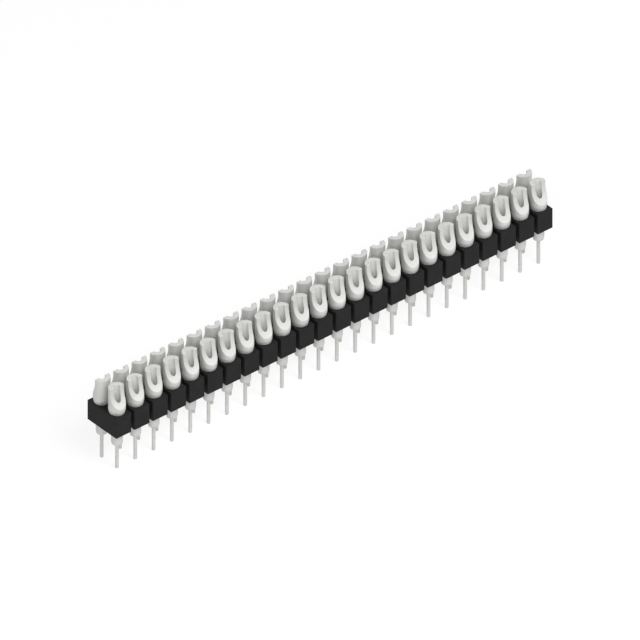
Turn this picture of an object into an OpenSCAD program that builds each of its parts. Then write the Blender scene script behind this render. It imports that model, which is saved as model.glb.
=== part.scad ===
// Two-row strip of turned solder-cup pins in a moulded insulator, in millimetres.
// +X runs along the rows, the front row is on the -Y side, and +Z points out of the cups.
// The origin is midway between the four corner tails, in the plane of the tail tips.
// Each pin is one turned piece: solder cup, barrel with a retaining ring, and thin tail.

/* [Strip] */
// Pins in each row
pins_per_row = 24; // [2:1:29]
// Distance between neighbouring pins of a row
pitch = 2.54; // [2.1:0.01:5.08]
// Distance between the two rows
row_spacing = 2.54; // [2.1:0.01:7.62]

/* [Insulator] */
// Height of the moulded insulator
insulator_height = 2.5; // [1.8:0.01:5]
// Distance from a row's centre line to the long side face beside it
side_margin = 1.14; // [0.95:0.005:2]
// Width of a break notch, measured along the strip
notch_width = 0.46; // [0.2:0.01:0.7]
// Depth of a break notch, measured in from a long side face
notch_depth = 1.4; // [0.4:0.01:1.8]
// Chamfer round the top of each pin hole, which guides the pin in
hole_lead = 0.05; // [0:0.01:0.08]

/* [Solder cup] */
// Outer diameter of the cup
cup_d = 1.9; // [1.7:0.01:2.1]
// Height of the cup above the insulator
cup_height = 3.22; // [2.7:0.01:5]
// How much the cup narrows, on the radius, at its foot
foot_taper = 0.1; // [0:0.01:0.12]
// Height of that tapered foot
foot_height = 0.5; // [0.1:0.01:0.6]
// Diameter of the drilled bore that takes the wire
bore_d = 0.84; // [0.5:0.01:1.05]
// Depth of the bore at its full diameter
bore_depth = 3.0; // [2.5:0.05:3.6]
// Point angle of the drill that made the bore
drill_angle = 118; // [90:1:140]
// Radius of the round cutter that mills the cup open to one side
scoop_r = 2.6; // [2.2:0.05:2.8]
// How far the scoop's wall runs straight down from the rim before it curves outwards
scoop_drop = 0.4; // [0.1:0.01:0.6]

/* [Barrel] */
// Diameter of the barrel that passes through the insulator
barrel_d = 1.27; // [1.1:0.01:1.5]
// Length of barrel below the insulator, which stands on the circuit board
barrel_below = 1.57; // [0.5:0.01:3]
// Chamfer at the barrel's lower end, on the radius
lead_in = 0.06; // [0.02:0.01:0.15]
// Height of that chamfer
lead_in_height = 0.25; // [0.1:0.01:0.45]
// Gap between the barrel and its hole, on the radius
barrel_gap = 0.03; // [0.02:0.005:0.04]
// Gap between the retaining ring and the hole, on the radius
ring_gap = 0.01; // [0.005:0.001:0.015]
// Height of the retaining ring
ring_height = 0.6; // [0.3:0.01:0.8]
// Height of the cone that leads the ring into the hole
ring_cone = 0.25; // [0.05:0.01:0.28]

/* [Tail] */
// Diameter of the tail that is soldered into the circuit board
tail_d = 0.4; // [0.3:0.01:0.8]
// Length of the tail
tail_length = 3.26; // [2:0.01:6]
// Chamfer round the tip of the tail
tip_chamfer = 0.05; // [0.01:0.01:0.1]

/* [Hidden] */
$fn = 64;
metal = [0.86, 0.86, 0.84];
plastic = [0.16, 0.16, 0.16];
// Cutting bodies reach this far past the faces that they open
past = 1;

// Heights, from the tips of the tails upwards
board_z = tail_length;
insulator_z = board_z + barrel_below;
seat_z = insulator_z + insulator_height;
rim_z = seat_z + cup_height;
ring_z = insulator_z + (insulator_height - ring_height) / 2;

block_length = pitch - notch_width;
insulator_length = (pins_per_row - 1) * pitch + block_length;
insulator_width = row_spacing + 2 * side_margin;
hole_r = barrel_d / 2 + barrel_gap;
ring_r = hole_r - ring_gap;
foot_r = cup_d / 2 - foot_taper;
bore_r = bore_d / 2;
drill_point = bore_r / tan(drill_angle / 2);

function two_digits(n) = str(n < 10 ? "0" : "", n);
function pin_name(row, n) = str(row, "_pin_", two_digits(n));
// Pin n's place along its row: pin 1 is at the -X end
function pin_x(n) = (n - (pins_per_row + 1) / 2) * pitch;

// A pin hole, chamfered at the top face
module pin_hole() {
    rotate_extrude() polygon([
        [0, insulator_z - past],
        [hole_r, insulator_z - past],
        [hole_r, seat_z - hole_lead],
        [hole_r + hole_lead, seat_z],
        [hole_r + hole_lead, seat_z + past],
        [0, seat_z + past]
    ]);
}

// The slot between two blocks in one long side, where the strip can be broken
module break_notch() {
    translate([-notch_width / 2, -insulator_width / 2 - past, insulator_z - past])
        cube([notch_width, notch_depth + past, insulator_height + 2 * past]);
}

module insulator() {
    color(plastic) difference() {
        translate([-insulator_length / 2, -insulator_width / 2, insulator_z])
            cube([insulator_length, insulator_width, insulator_height]);
        for (n = [1:pins_per_row], side = [-1, 1])
            translate([pin_x(n), side * row_spacing / 2, 0]) pin_hole();
        for (n = [1:pins_per_row - 1], turn = [0, 180])
            translate([pin_x(n) + pitch / 2, 0, 0]) rotate(turn) break_notch();
    }
}

// The bar-turned outline of a pin, from the tip of its tail to the rim of its cup
module turned_blank() {
    rotate_extrude() polygon([
        [0, 0],
        [tail_d / 2 - tip_chamfer, 0],
        [tail_d / 2, tip_chamfer],
        [tail_d / 2, board_z],
        [barrel_d / 2 - lead_in, board_z],
        [barrel_d / 2, board_z + lead_in_height],
        [barrel_d / 2, ring_z],
        [ring_r, ring_z + ring_cone],
        [ring_r, ring_z + ring_height],
        [barrel_d / 2, ring_z + ring_height],
        [barrel_d / 2, seat_z],
        [foot_r, seat_z],
        [cup_d / 2, seat_z + foot_height],
        [cup_d / 2, rim_z],
        [0, rim_z]
    ]);
}

// The drilled bore with the cone that the drill's point leaves
module wire_bore() {
    rotate_extrude() polygon([
        [0, rim_z - bore_depth - drill_point],
        [bore_r, rim_z - bore_depth],
        [bore_r, rim_z + past],
        [0, rim_z + past]
    ]);
}

// The path of the round cutter, which lies along the row and comes straight down in front
// of the pin's axis: half of the rim stays, and the wall ends in a curve towards -Y
module scoop() {
    translate([-cup_d / 2 - past, -scoop_r, rim_z - scoop_drop]) {
        rotate([0, 90, 0]) cylinder(r = scoop_r, h = cup_d + 2 * past);
        cube([cup_d + 2 * past, scoop_r, scoop_drop + past]);
    }
}

// One turned pin on the Z axis, with its cup open towards -Y
module solder_pin() {
    color(metal) difference() {
        turned_blank();
        wire_bore();
        scoop();
    }
}

module front_pin(n) {
    translate([pin_x(n), -row_spacing / 2, 0]) solder_pin();
}

module rear_pin(n) {
    translate([pin_x(n), row_spacing / 2, 0]) rotate(180) solder_pin();
}

insulator();
for (n = [1:pins_per_row]) {
    front_pin(n);
    rear_pin(n);
}
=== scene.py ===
"""A long strip of solder pins: two rows of turned pins, each with a scooped solder cup above a
black notched insulator and a thin tail below it, standing on its tails on a white table."""
import math

import bpy
import numpy as np
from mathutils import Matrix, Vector, geometry


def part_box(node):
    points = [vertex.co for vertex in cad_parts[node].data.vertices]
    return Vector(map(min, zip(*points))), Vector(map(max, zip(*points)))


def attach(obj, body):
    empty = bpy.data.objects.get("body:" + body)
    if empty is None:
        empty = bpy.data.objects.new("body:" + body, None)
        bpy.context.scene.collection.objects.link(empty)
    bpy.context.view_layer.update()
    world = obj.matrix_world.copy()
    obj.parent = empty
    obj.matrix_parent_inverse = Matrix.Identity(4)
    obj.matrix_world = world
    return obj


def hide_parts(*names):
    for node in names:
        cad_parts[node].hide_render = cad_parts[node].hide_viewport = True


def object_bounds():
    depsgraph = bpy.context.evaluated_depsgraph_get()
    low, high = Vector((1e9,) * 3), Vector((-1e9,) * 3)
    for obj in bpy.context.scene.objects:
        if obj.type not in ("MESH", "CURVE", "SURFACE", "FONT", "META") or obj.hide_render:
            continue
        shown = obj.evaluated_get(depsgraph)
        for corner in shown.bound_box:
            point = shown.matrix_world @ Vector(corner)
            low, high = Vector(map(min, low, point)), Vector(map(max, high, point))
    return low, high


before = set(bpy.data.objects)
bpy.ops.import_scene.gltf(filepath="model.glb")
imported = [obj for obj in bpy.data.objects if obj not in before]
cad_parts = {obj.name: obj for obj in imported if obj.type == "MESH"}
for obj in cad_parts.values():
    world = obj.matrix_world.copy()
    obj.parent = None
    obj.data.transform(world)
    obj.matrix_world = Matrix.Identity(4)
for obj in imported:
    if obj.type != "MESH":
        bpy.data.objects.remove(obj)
cad_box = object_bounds()

# ---------------------------------------------------------------------------------------------
# The view
# A product view from above the left front corner, through a lens with no perspective, so that
# all the pins of a row look alike.
# ---------------------------------------------------------------------------------------------
VIEW_TURN = math.radians(-39.807)
VIEW_RISE = math.radians(35.587)
VIEW_WIDTH = 0.068153
VIEW_DISTANCE = 0.3
VIEW_NEAR = 0.01
VIEW_FAR = 10
# From the middle of the strip's box to the point that the view is centred on
VIEW_SHIFT = Vector((-0.000003, 0.000003, -0.00003))

aim = (cad_box[0] + cad_box[1]) / 2 + VIEW_SHIFT
towards_camera = Vector((
    math.sin(VIEW_TURN) * math.cos(VIEW_RISE),
    -math.cos(VIEW_TURN) * math.cos(VIEW_RISE),
    math.sin(VIEW_RISE),
))
camera = bpy.data.objects.new("camera", bpy.data.cameras.new("camera"))
camera.data.type = "ORTHO"
camera.data.ortho_scale = VIEW_WIDTH
camera.data.clip_start = VIEW_NEAR
camera.data.clip_end = VIEW_FAR
camera.location = aim + towards_camera * VIEW_DISTANCE
camera.rotation_euler = towards_camera.to_track_quat("Z", "Y").to_euler()
bpy.context.scene.collection.objects.link(camera)
bpy.context.scene.camera = camera
bpy.context.scene.view_settings.view_transform = "Standard"

# ---------------------------------------------------------------------------------------------
# The table and the light
# A white table that runs out of view in a dim white room. A soft lamp stands high in front, a
# weaker one at the left corner and another high at the back. The table shows as white, with only
# a faint shadow under the tails.
# ---------------------------------------------------------------------------------------------
TABLE_HALF = 1.5
TABLE_GREY = 0.8
TABLE_GLOW = 0.84
SHADOW_KEPT = 0.3
ROOM_LIGHT = 0.2
LAMP_SIZE = 0.3
LAMPS = (
    ("high front lamp", (0, -0.4, 0.5), 1.97),
    ("left corner lamp", (-0.4, -0.4, 0.4), 1.1),
    ("high back lamp", (0.2, 0.3, 0.6), 0.25),
)
WHITE = (1, 1, 1, 1)


class Shade:
    """A socket in a node tree, reckoned with as a number: each operator adds one Math node."""

    def __init__(self, tree, socket=None):
        self.tree, self.socket = tree, socket

    def node(self, kind, settings, sockets, output=0):
        """Adds a node of that kind: its settings first, then the values or links of its sockets."""
        made = self.tree.nodes.new(kind)
        for name, value in settings.items():
            setattr(made, name, value)
        for name, value in sockets.items():
            if isinstance(value, Shade):
                self.tree.links.new(value.socket, made.inputs[name])
            else:
                made.inputs[name].default_value = value
        return Shade(self.tree, made.outputs[output] if made.outputs else None)

    def reckon(self, operation, first, second=0):
        """Adds a Math node that does this operation on one or two numbers."""
        return self.node("ShaderNodeMath", {"operation": operation}, {0: first, 1: second})

    def __add__(self, other):
        return self.reckon("ADD", self, other)

    def __radd__(self, other):
        return self.reckon("ADD", other, self)

    def __mul__(self, other):
        return self.reckon("MULTIPLY", self, other)

    def __rmul__(self, other):
        return self.reckon("MULTIPLY", other, self)


def bare_tree(owner):
    """The owner's node tree with nothing in it, as a place to add nodes."""
    owner.use_nodes = True
    owner.node_tree.nodes.clear()
    return Shade(owner.node_tree)


def seen_directly(tree):
    """1 for what the camera sees straight, in a reflection or through glass, and 0 for light."""
    camera_ray, glossy_ray, transmission_ray = [
        tree.node("ShaderNodeLightPath", {}, {}, name)
        for name in ("Is Camera Ray", "Is Glossy Ray", "Is Transmission Ray")
    ]
    return tree.reckon("MINIMUM", camera_ray + glossy_ray + transmission_ray, 1)


world = bpy.data.worlds.new("room")
bpy.context.scene.world = world
room = bare_tree(world)
lit = room.node("ShaderNodeBackground", {}, {"Color": WHITE, "Strength": ROOM_LIGHT})
white = room.node("ShaderNodeBackground", {}, {"Color": WHITE, "Strength": 1})
walls = room.node("ShaderNodeMixShader", {}, {0: seen_directly(room), 1: lit, 2: white})
room.node("ShaderNodeOutputWorld", {}, {"Surface": walls})

table_top = bpy.data.materials.new("white table top")
top = bare_tree(table_top)
matt, pale = [
    top.node("ShaderNodeBsdfDiffuse", {}, {"Color": (grey, grey, grey, 1)})
    for grey in (TABLE_GREY, TABLE_GREY * SHADOW_KEPT)
]
glow = top.node("ShaderNodeEmission", {}, {"Color": WHITE, "Strength": TABLE_GLOW})
shown = top.node("ShaderNodeAddShader", {}, {0: pale, 1: glow})
both = top.node("ShaderNodeMixShader", {}, {0: seen_directly(top), 1: matt, 2: shown})
top.node("ShaderNodeOutputMaterial", {}, {"Surface": both})

table_mesh = bpy.data.meshes.new("table")
corners = TABLE_HALF * np.array([[-1, -1, 0], [1, -1, 0], [1, 1, 0], [-1, 1, 0]])
table_mesh.from_pydata(corners.tolist(), [], [[0, 1, 2, 3]])
table_mesh.materials.append(table_top)
table = bpy.data.objects.new("table", table_mesh)
bpy.context.scene.collection.objects.link(table)

for name, place, energy in LAMPS:
    light = bpy.data.lights.new(name, "AREA")
    light.size = LAMP_SIZE
    light.energy = energy
    lamp = bpy.data.objects.new(name, light)
    lamp.location = place
    lamp.rotation_euler = Vector(place).to_track_quat("Z", "Y").to_euler()
    bpy.context.scene.collection.objects.link(lamp)

# ---------------------------------------------------------------------------------------------
# The insulator
# One bar moulded in black glass-filled plastic. Break notches part its sides into a block for
# each pair of pins, and each pin's hole has a small chamfer at the top that guides it in.
# ---------------------------------------------------------------------------------------------
PITCH = 0.00254
NOTCH_WIDTH = 0.00046
NOTCH_DEPTH = 0.0014
HOLE_RADIUS = 0.000665
HOLE_LEAD = 0.00005
INSULATOR_EDGE = 0.00003
PLASTIC_CORNER = 0.00006
NEAR_REACH = 0.45
CORNER_STEPS = 3
HOLE_STEPS = 64
FLAT_FACE_WEIGHT = 100
MILLIMETRES = 1000
SMALLEST_STEP = 1e-7
PLASTIC_DARK = (0.013, 0.013, 0.0132, 1)
PLASTIC_LIGHT = (0.032, 0.032, 0.0324, 1)
PLASTIC_CLOUDS = 900
PLASTIC_GRAIN = 16000
GRAIN_HEIGHT = 0.000015
PLASTIC_ROUGHNESS = 0.52
PLASTIC_ROUGHNESS_SPREAD = 0.12
PLASTIC_SHEEN = 0.08
# A Mix node's sockets for colours: the share, the first and the second colour, and the result
MIX_SHARE, MIX_FIRST, MIX_SECOND = 0, 6, 7
MIX_RESULT = 2
PINS_IN_ROW = sum(name.startswith("front_pin_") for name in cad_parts)

insulator_low, insulator_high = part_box("insulator")


def eased(path, reach, steps, closed=False):
    """Rounds a path's corners: each corner C between neighbours A and B becomes a quadratic curve
    that leaves the line from A, and meets the line to B, a reach away from C. Where a neighbour is
    near, it does so at NEAR_REACH of the way there."""
    path = np.asarray(path, float)
    ends = []
    for shift in (1, -1):
        away = np.roll(path, shift, 0) - path
        reached = np.minimum(reach / np.linalg.norm(away, axis=1), NEAR_REACH)
        ends.append(path + away * reached[:, None])
    leaves, meets = ends
    share = np.linspace(0, 1, steps + 1)[:, None]
    arcs = ((1 - share) ** 2 * leaves[:, None] + 2 * share * (1 - share) * path[:, None]
            + share ** 2 * meets[:, None])
    if closed:
        return arcs.reshape(-1, path.shape[1])
    return np.concatenate([path[:1], arcs[1:-1].reshape(-1, path.shape[1]), path[-1:]])


def bridges(rows):
    """Quads between neighbouring closed rings, given as an array of rings by places of points."""
    low, high = rows[:-1], rows[1:]
    return np.stack([low, np.roll(low, -1, 1), np.roll(high, -1, 1), high], -1).reshape(-1, 4)


def made_piece(name, points, faces, material):
    """A smooth-shaded object of these points and lists of faces, standing at the origin, with the
    normals of its large faces kept flat up to their rounded edges."""
    mesh = bpy.data.meshes.new(name)
    mesh.from_pydata(points.tolist(), [], [face for part in faces for face in part.tolist()])
    mesh.polygons.foreach_set("use_smooth", np.ones(len(mesh.polygons), bool))
    mesh.materials.append(material)
    piece = bpy.data.objects.new(name, mesh)
    bpy.context.scene.collection.objects.link(piece)
    piece.modifiers.new("flat faces", "WEIGHTED_NORMAL").weight = FLAT_FACE_WEIGHT
    return piece


def moulded_plastic():
    """Matt black plastic: a near-black base with faint flow clouds and the fine grain of the mould."""
    material = bpy.data.materials.new("black moulded plastic")
    tree = bare_tree(material)
    place = tree.node("ShaderNodeTexCoord", {}, {}, "Object")
    clouds = tree.node("ShaderNodeTexNoise", {}, {"Vector": place, "Scale": PLASTIC_CLOUDS, "Detail": 5})
    grain = tree.node("ShaderNodeTexNoise", {}, {"Vector": place, "Scale": PLASTIC_GRAIN, "Detail": 2})
    colour = tree.node("ShaderNodeMix", {"data_type": "RGBA"}, {
        MIX_SHARE: clouds,
        MIX_FIRST: PLASTIC_DARK,
        MIX_SECOND: PLASTIC_LIGHT,
    }, MIX_RESULT)
    bumps = tree.node(
        "ShaderNodeBump", {}, {"Height": grain, "Distance": GRAIN_HEIGHT, "Strength": 1})
    shader = tree.node("ShaderNodeBsdfPrincipled", {}, {
        "Base Color": colour,
        "Roughness": PLASTIC_ROUGHNESS + clouds * PLASTIC_ROUGHNESS_SPREAD,
        "Normal": bumps,
        "Specular IOR Level": PLASTIC_SHEEN,
    })
    tree.node("ShaderNodeOutputMaterial", {}, {"Surface": shader})
    return material


def insulator_outline():
    """The plan view of the bar, anticlockwise: along each side a block of PITCH less a notch's
    width, then the notch's three sides, with the last notches left out at the ends."""
    half_block = (PITCH - NOTCH_WIDTH) / 2
    half_width = insulator_high.y
    block = np.array([[-half_block, 0], [half_block, 0]])
    notch_floor = np.array([[half_block, NOTCH_DEPTH], [PITCH - half_block, NOTCH_DEPTH]])
    step = np.concatenate([block, notch_floor])
    starts = (np.arange(PINS_IN_ROW) - (PINS_IN_ROW - 1) / 2) * PITCH
    side = (step[None] + np.stack([starts, 0 * starts], -1)[:, None]).reshape(-1, 2)[:-2]
    side[:, 1] -= half_width
    return np.concatenate([side, -side])


outline = eased(insulator_outline(), PLASTIC_CORNER, CORNER_STEPS, closed=True)
along = np.roll(outline, -1, 0) - np.roll(outline, 1, 0)
outwards = np.stack([along[:, 1], -along[:, 0]], -1) / np.linalg.norm(along, axis=1)[:, None]


def side_rings():
    """The outline at rising heights: drawn in by the squared share that is left of a rounded edge
    as it rises by the squared share that is done, at the bottom, and the mirror of that on top."""
    share = np.linspace(0, 1, CORNER_STEPS + 1)
    inset = INSULATOR_EDGE * np.concatenate([(1 - share) ** 2, share ** 2])
    height = np.concatenate([
        insulator_low.z + INSULATOR_EDGE * share ** 2,
        insulator_high.z - INSULATOR_EDGE * (1 - share) ** 2,
    ])
    plan = outline - inset[:, None, None] * outwards
    return np.concatenate([plan, np.broadcast_to(height[:, None, None], (*plan.shape[:2], 1))], -1)


def hole_rings():
    """Each pin hole as three circles, going down: the chamfer's mouth, its foot and the far end."""
    turn = np.arange(HOLE_STEPS) * 2 * np.pi / HOLE_STEPS
    circle = np.stack([np.cos(turn), np.sin(turn)], -1)
    centres = np.array([
        ((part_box(name)[0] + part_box(name)[1]) / 2).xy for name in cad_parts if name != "insulator"
    ])
    radius = np.array([HOLE_RADIUS + HOLE_LEAD, HOLE_RADIUS, HOLE_RADIUS])
    height = np.array([insulator_high.z, insulator_high.z - HOLE_LEAD, insulator_low.z])
    plan = centres[:, None, None] + radius[:, None, None] * circle
    return np.concatenate([plan, np.broadcast_to(height[:, None, None], (*plan.shape[:3], 1))], -1)


def flat_face(points, loops, faces_up):
    """Triangles between an outline, the first loop, and the round holes in it, the other loops, by
    the Delaunay rule: no other point lies inside a triangle's circle. A triangle whose corners are
    all on one hole lies in that hole and is left out. The work is in millimetres, which suit the
    smallest step that the rule is worked out with."""
    order = np.concatenate(loops)
    owner = np.repeat(np.arange(len(loops)), [len(loop) for loop in loops])
    members = [np.flatnonzero(owner == number) for number in range(len(loops))]
    edges = np.concatenate([np.stack([loop, np.roll(loop, -1)], -1) for loop in members])
    flat = [Vector(point) for point in (MILLIMETRES * points[order, :2]).tolist()]
    inside_outline = 1
    _, _, filled, origins, _, _ = geometry.delaunay_2d_cdt(
        flat, edges.tolist(), [], inside_outline, SMALLEST_STEP)
    source = np.array([origin[0] for origin in origins])[np.array(filled)]
    first, last = owner[source].min(1), owner[source].max(1)
    triangles = order[source[(first != last) | (first == 0)]]
    return triangles if faces_up else triangles[:, ::-1]


sides, holes = side_rings(), hole_rings()
side_rows = np.arange(sides[..., 0].size).reshape(sides.shape[:2])
hole_rows = sides[..., 0].size + np.arange(holes[..., 0].size).reshape(holes.shape[:3])
bar_points = np.concatenate([sides.reshape(-1, 3), holes.reshape(-1, 3)])
bar = made_piece("insulator_moulding", bar_points, [
    bridges(side_rows),
    *[bridges(rows) for rows in hole_rows],
    flat_face(bar_points, [side_rows[-1], *hole_rows[:, 0]], True),
    flat_face(bar_points, [side_rows[0], *hole_rows[:, -1]], False),
], moulded_plastic())
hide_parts("insulator")
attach(bar, "root")

# ---------------------------------------------------------------------------------------------
# The pins
# Each pin is turned from one brass bar and plated with matt tin. Its cup is drilled, and milled
# open to one side with a round cutter; its barrel is pressed into the insulator up to the cup.
# ---------------------------------------------------------------------------------------------
TAIL_RADIUS = 0.0002
TAIL_LENGTH = 0.00326
TIP_CHAMFER = 0.00005
BARREL_RADIUS = 0.000635
LEAD_IN = 0.00006
LEAD_IN_HEIGHT = 0.00025
RING_RADIUS = 0.000655
RING_HEIGHT = 0.0006
RING_CONE = 0.00025
FOOT_TAPER = 0.0001
FOOT_HEIGHT = 0.0005
BORE_RADIUS = 0.00042
BORE_DEPTH = 0.003
DRILL_ANGLE = math.radians(118)
SCOOP_RADIUS = 0.0026
SCOOP_DROP = 0.0004
METAL_EDGE = 0.00002
CREASE = 0.00003
EDGE_STEPS = 3
# Columns round half a pin: along the rim's back, its crease, the straight wall and the scoop
COLUMNS = (14, 3, 4, 21)
WALL_STEPS = 6
LAND_STEPS = 5
# How far the cut runs past the axis, in cup radii, and how finely each of its stretches is sampled
CUT_REACH = 1.2
CUT_SAMPLES = 200
EDGE_SAMPLES = 400
# Where the cup's wall begins to follow the cut, in heights of the foot
WALL_START = 1.2
TIN_DARK = (0.63, 0.634, 0.613, 1)
TIN_LIGHT = (0.77, 0.774, 0.753, 1)
TIN_CLOUDS = 1100
TIN_ROUGHNESS = 0.55
TIN_ROUGHNESS_SPREAD = 0.18
TIN_METALLIC = 0.55
# The rings that turning leaves: from one to the next, how deep, and how far they stray
TURNED_STEP = 0.00004
TURNED_DEPTH = 0.0000005
TURNED_WANDER = 0.00002

pin_low, pin_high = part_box("front_pin_01")
CUP_RADIUS = (pin_high.x - pin_low.x) / 2
rim_z, seat_z = pin_high.z, insulator_high.z
board_z = pin_low.z + TAIL_LENGTH
ring_z = (insulator_low.z + insulator_high.z - RING_HEIGHT) / 2


def cut_profile():
    """The side view of what the cutter leaves, from the back of the cup to past its front: how far
    each point is along the line, in front of the axis, and up. The flat rim turns down in a small
    crease; the wall drops straight, then follows the cutter's circle."""
    share = np.linspace(0, 1, CUT_SAMPLES)
    turn = share * np.arccos(1 - CUT_REACH * CUP_RADIUS / SCOOP_RADIUS)
    front = np.concatenate([
        share * (CUP_RADIUS - CREASE) - CUP_RADIUS,
        -CREASE * (1 - share[1:]) ** 2,
        0 * share[1:],
        SCOOP_RADIUS * (1 - np.cos(turn[1:])),
    ])
    fall = np.concatenate([
        0 * share,
        CREASE * share[1:] ** 2,
        CREASE + (SCOOP_DROP - CREASE) * share[1:],
        SCOOP_DROP + SCOOP_RADIUS * np.sin(turn[1:]),
    ])
    way = np.concatenate([[0], np.cumsum(np.hypot(np.diff(front), np.diff(fall)))]) - CUP_RADIUS
    return way, front, rim_z - fall


cut_way, cut_front, cut_height = cut_profile()
crease_starts, drop_starts, scoop_starts = (CUT_SAMPLES - 1) * np.arange(1, 4)
cut_marks = cut_way[[crease_starts, drop_starts, scoop_starts]]


def on_cut(across, way):
    """Points of the cut surface, from their places across the row and along the cut's side view."""
    front, height = np.interp(way, cut_way, cut_front), np.interp(way, cut_way, cut_height)
    return np.stack([across, -front, height], -1)


def on_wall(radius, turn, height):
    """Points of a round wall, from their turn about the pin's axis, which is 0 at the open side."""
    return np.stack(np.broadcast_arrays(radius * np.sin(turn), -radius * np.cos(turn), height), -1)


def lip(radius, land_side):
    """The rounded edge between a round wall and the cut, from back to front along half of the pin:
    where it begins on the wall as (turn, height), its rows of points, and where it ends on the cut
    as (across, way). land_side is 1 where the cut lies inside the wall, and -1 outside it.

    The columns are evenly spaced along each stretch of the sharp edge. Both ends of a row are
    METAL_EDGE away from it, at right angles to it on the unrolled wall, whose plan is
    (radius * turn, height), and on the unrolled cut, (across, way)."""
    last = np.interp(radius, cut_front[scoop_starts:], cut_way[scoop_starts:])
    stretch_ends = [-radius, *cut_marks, last]
    fine, picked = [], []
    for start, end, columns in zip(stretch_ends[:-1], stretch_ends[1:], COLUMNS):
        way = start + (end - start) * (1 - np.cos(np.linspace(0, np.pi, EDGE_SAMPLES))) / 2
        turn = np.arccos(np.clip(np.interp(way, cut_way, cut_front) / radius, -1, 1))
        height = np.interp(way, cut_way, cut_height)
        steps = np.hypot(np.diff(radius * turn), np.diff(height))
        length = np.concatenate([[0], np.cumsum(steps)])
        picked.append(np.interp(np.linspace(0, length[-1], columns + 1)[:-1], length, way))
        fine.append(np.stack([way, turn, height])[:, :-1])
    way, turn, height = np.concatenate(fine, 1)
    picked = np.append(np.concatenate(picked), way[-1])

    def at_columns(values):
        return np.interp(picked, way, values)

    def square_to(first, second):
        """The direction at right angles to the edge, on its left, at each column."""
        first, second = np.gradient(first), np.gradient(second)
        size = np.hypot(first, second)
        return at_columns(-second / size), at_columns(first / size)

    aside, up = square_to(radius * turn, height)
    begins = at_columns(turn) + METAL_EDGE * aside / radius, at_columns(height) + METAL_EDGE * up
    across, along_cut = square_to(radius * np.sin(turn), way)
    ends = (at_columns(radius * np.sin(turn)) + land_side * METAL_EDGE * across,
            picked + land_side * METAL_EDGE * along_cut)
    share = np.linspace(0, 1, EDGE_STEPS + 1)[:, None, None]
    edge = on_wall(radius, at_columns(turn), at_columns(height))
    rows = ((1 - share) ** 2 * on_wall(radius, *begins) + 2 * share * (1 - share) * edge
            + share ** 2 * on_cut(*ends))
    return begins, rows, ends


def between(first, last, steps):
    """Rows of (a, b) parameter pairs at even shares from the first row to the last, without them."""
    share = np.linspace(0, 1, steps + 1)[1:-1, None]
    return [a + share * (b - a) for a, b in zip(first, last)]


def pin_rows():
    """All the rows of points of a pin that stands on the origin and opens to the front, from the
    tip of its tail up the outside, over the cut and down the bore: the left half of each row is
    the right half's mirror image. The first and the last row are single points."""
    turn = np.linspace(np.pi, 0, sum(COLUMNS) + 1)
    tail = eased([
        [0, pin_low.z],
        [TAIL_RADIUS - TIP_CHAMFER, pin_low.z],
        [TAIL_RADIUS, pin_low.z + TIP_CHAMFER],
        [TAIL_RADIUS, board_z],
        [BARREL_RADIUS - LEAD_IN, board_z],
        [BARREL_RADIUS, board_z + LEAD_IN_HEIGHT],
        [BARREL_RADIUS, ring_z],
    ], METAL_EDGE, EDGE_STEPS)[1:]
    barrel = [
        [RING_RADIUS, ring_z + RING_CONE],
        [RING_RADIUS, ring_z + RING_HEIGHT],
        [BARREL_RADIUS, ring_z + RING_HEIGHT],
    ]
    wall_z = seat_z + WALL_START * FOOT_HEIGHT
    foot = eased([
        [BARREL_RADIUS, seat_z],
        [CUP_RADIUS - FOOT_TAPER, seat_z],
        [CUP_RADIUS, seat_z + FOOT_HEIGHT],
        [CUP_RADIUS, wall_z],
    ], METAL_EDGE, EDGE_STEPS)
    outside = np.concatenate([tail, barrel, foot])
    below = on_wall(outside[:, :1], turn, outside[:, 1:])
    outer_begins, outer_rows, outer_ends = lip(CUP_RADIUS, 1)
    inner_begins, inner_rows, inner_ends = lip(BORE_RADIUS, -1)
    floor_z = rim_z - BORE_DEPTH
    floor = turn, np.full(len(turn), floor_z)
    half = np.concatenate([
        below,
        on_wall(CUP_RADIUS, *between((turn, np.full(len(turn), wall_z)), outer_begins, WALL_STEPS)),
        outer_rows,
        on_cut(*between(outer_ends, inner_ends, LAND_STEPS)),
        inner_rows[::-1],
        on_wall(BORE_RADIUS, *between(inner_begins, floor, WALL_STEPS)),
        on_wall(BORE_RADIUS, *floor)[None],
    ])
    left = half * [-1, 1, 1]
    whole = np.concatenate([left[:, :-1], half[:, :0:-1]], 1)
    point_z = floor_z - BORE_RADIUS / math.tan(DRILL_ANGLE / 2)
    return whole, np.array([[0, 0, pin_low.z], [0, 0, point_z]])


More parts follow.
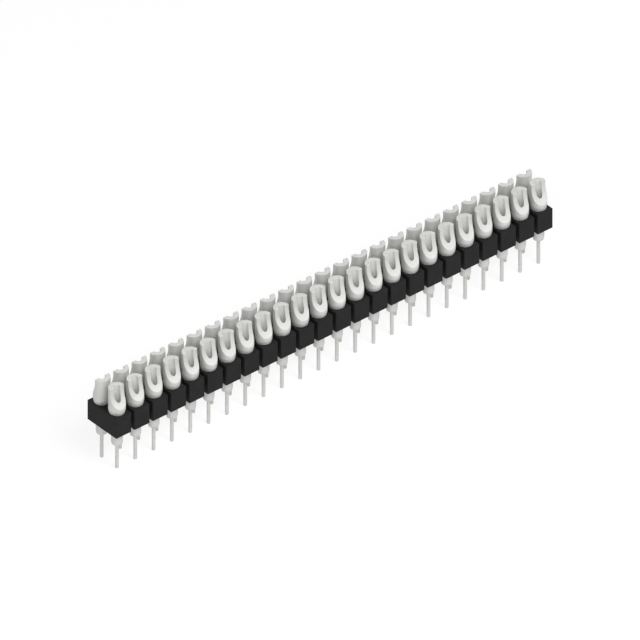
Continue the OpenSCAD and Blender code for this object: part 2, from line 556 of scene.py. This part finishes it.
def plated_tin():
    """Matt tin plate: light grey metal, a little cloudy, over the fine rings that turning leaves."""
    material = bpy.data.materials.new("matt tin plate")
    tree = bare_tree(material)
    place = tree.node("ShaderNodeTexCoord", {}, {}, "Object")
    clouds = tree.node("ShaderNodeTexNoise", {}, {"Vector": place, "Scale": TIN_CLOUDS, "Detail": 4})
    colour = tree.node("ShaderNodeMix", {"data_type": "RGBA"}, {
        MIX_SHARE: clouds,
        MIX_FIRST: TIN_DARK,
        MIX_SECOND: TIN_LIGHT,
    }, MIX_RESULT)
    height = tree.node("ShaderNodeSeparateXYZ", {}, {"Vector": place}, "Z")
    rings = tree.reckon("SINE", (height + clouds * TURNED_WANDER) * (2 * math.pi / TURNED_STEP))
    bumps = tree.node(
        "ShaderNodeBump", {}, {"Height": rings, "Distance": TURNED_DEPTH, "Strength": 1})
    shader = tree.node("ShaderNodeBsdfPrincipled", {}, {
        "Base Color": colour,
        "Normal": bumps,
        "Metallic": TIN_METALLIC,
        "Roughness": TIN_ROUGHNESS + clouds * TIN_ROUGHNESS_SPREAD,
        "Specular IOR Level": 0,
    })
    tree.node("ShaderNodeOutputMaterial", {}, {"Surface": shader})
    return material


pin_points, pin_poles = pin_rows()
rings, columns = pin_points.shape[:2]
pin_grid = np.arange(rings * columns).reshape(rings, columns)
tip, drill_point = rings * columns, rings * columns + 1
pin_faces = [
    bridges(pin_grid),
    np.stack([np.full(columns, tip), np.roll(pin_grid[0], -1), pin_grid[0]], -1),
    np.stack([pin_grid[-1], np.roll(pin_grid[-1], -1), np.full(columns, drill_point)], -1),
]
pin_template = np.concatenate([pin_points.reshape(-1, 3), pin_poles])
tin = plated_tin()
for name in sorted(set(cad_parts) - {"insulator"}):
    low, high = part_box(name)
    facing = [1, 1, 1] if name.startswith("front") else [-1, -1, 1]
    axis = [(low.x + high.x) / 2, (low.y + high.y) / 2, 0]
    pin = made_piece(f"{name}_plated", pin_template * facing + axis, pin_faces, tin)
    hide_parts(name)
    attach(pin, "root")
